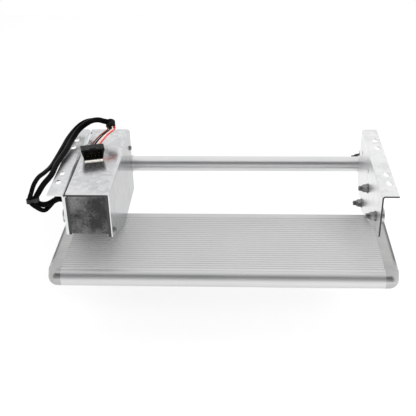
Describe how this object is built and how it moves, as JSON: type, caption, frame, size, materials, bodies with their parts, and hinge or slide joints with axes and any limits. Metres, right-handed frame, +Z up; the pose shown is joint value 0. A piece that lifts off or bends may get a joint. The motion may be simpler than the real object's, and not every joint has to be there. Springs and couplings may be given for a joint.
{
  "type": "caravan step",
  "caption": "Electric pull out caravan step: ribbed aluminium tread on bowed swing arms under two slotted mounting brackets, with a motor box, a cross tube and a wiring harness.",
  "frame": {"origin": "on the floor below the middle of the step, without its harness, in the stowed pose", "axes": "+X along the tread to the right-hand bracket, +Y under the vehicle, +Z up to the mounting flanges"},
  "size_m": [0.57, 0.3194, 0.1932],
  "materials": {
    "anodised_aluminium": "satin anodised",
    "black_plastic": "moulded",
    "bronze": "sintered",
    "cable_sheath": "satin",
    "cast_alloy": "as cast",
    "copper": "lacquered windings",
    "dark_sheet": "satin black",
    "ferrite": "matt",
    "galvanised_sheet": "satin zinc grey",
    "grey_plastic": "moulded",
    "motor_steel": "plated",
    "rubber": "matt",
    "tube_steel": "satin zinc grey",
    "white_nylon": "moulded",
    "wire_insulation": "coloured leads",
    "zinc_hardware": "zinc plated"
  },
  "bodies": {
    "frame": {"left_bracket": "galvanised_sheet", "right_bracket": "galvanised_sheet", "left_doubler": "galvanised_sheet", "right_doubler": "galvanised_sheet", "motor_cover": "galvanised_sheet", "front_plate": "dark_sheet", "cross_tube": "tube_steel", "tube_plugs": "zinc_hardware", "tube_screws": "zinc_hardware", "pivot_bushes": "bronze", "doubler_screws": "zinc_hardware", "doubler_nuts": "zinc_hardware", "stop_studs": "zinc_hardware", "stop_buffers": "rubber", "cover_spacers": "zinc_hardware", "cover_screws": "zinc_hardware", "gearbox_housing": "cast_alloy", "gearbox_lid": "cast_alloy", "lid_screws": "zinc_hardware", "gearbox_mount_screws": "zinc_hardware", "motor_can": "motor_steel", "motor_magnets": "ferrite", "brush_cap": "black_plastic", "shaft_bearings": "bronze", "cable_grommet": "rubber", "motor_leads": "cable_sheath", "connector_housing": "black_plastic", "connector_lock": "white_nylon", "lead_wires": "wire_insulation", "harness_boot": "black_plastic", "motor_cable": "cable_sheath", "switch_cable": "cable_sheath", "cable_tie": "black_plastic"},
    "rotor": {"worm_shaft": "zinc_hardware", "armature": "copper", "commutator": "copper"},
    "front_arms": {"front_arm_left": "galvanised_sheet", "front_arm_right": "galvanised_sheet", "output_shaft": "zinc_hardware", "worm_wheel": "bronze", "front_axle": "zinc_hardware", "front_axle_washer": "zinc_hardware", "front_axle_nut": "zinc_hardware"},
    "rear_arms": {"rear_arm_left": "galvanised_sheet", "rear_arm_right": "galvanised_sheet", "rear_axles": "zinc_hardware", "rear_axle_washers": "zinc_hardware", "rear_axle_nuts": "zinc_hardware"},
    "tread": {"tread_deck": "anodised_aluminium", "end_cap_left": "grey_plastic", "end_cap_right": "grey_plastic", "carrier_left": "galvanised_sheet", "carrier_right": "galvanised_sheet", "carrier_screws": "zinc_hardware", "cap_screws": "zinc_hardware", "front_link_pins": "zinc_hardware", "rear_link_bolts": "zinc_hardware", "link_nuts": "zinc_hardware", "link_washers": "white_nylon"}
  },
  "joints": [
    {"name": "step_swing", "type": "hinge", "parent": "frame", "child": "front_arms", "pos_m": [0, -0.09119, 0.096], "axis": [-1, 0, 0], "range_deg": [0, 83]},
    {"name": "rear_arm_swing", "type": "hinge", "parent": "frame", "child": "rear_arms", "pos_m": [0, -0.00319, 0.096], "axis": [-1, 0, 0], "range_deg": [0, 83]},
    {"name": "tread_level", "type": "hinge", "parent": "front_arms", "child": "tread", "pos_m": [0, 0.05869, 0.0776], "axis": [-1, 0, 0], "range_deg": [-83, 0]},
    {"name": "motor_spin", "type": "hinge", "parent": "frame", "child": "rotor", "pos_m": [-0.212, 0, 0.1223], "axis": [0, -1, 0], "range_deg": [0, 3320]}
  ],
  "couplings": [
    {"joint": "rear_arm_swing", "follows": "step_swing", "ratio": 1},
    {"joint": "tread_level", "follows": "step_swing", "ratio": -1},
    {"joint": "motor_spin", "follows": "step_swing", "ratio": 40}
  ]
}
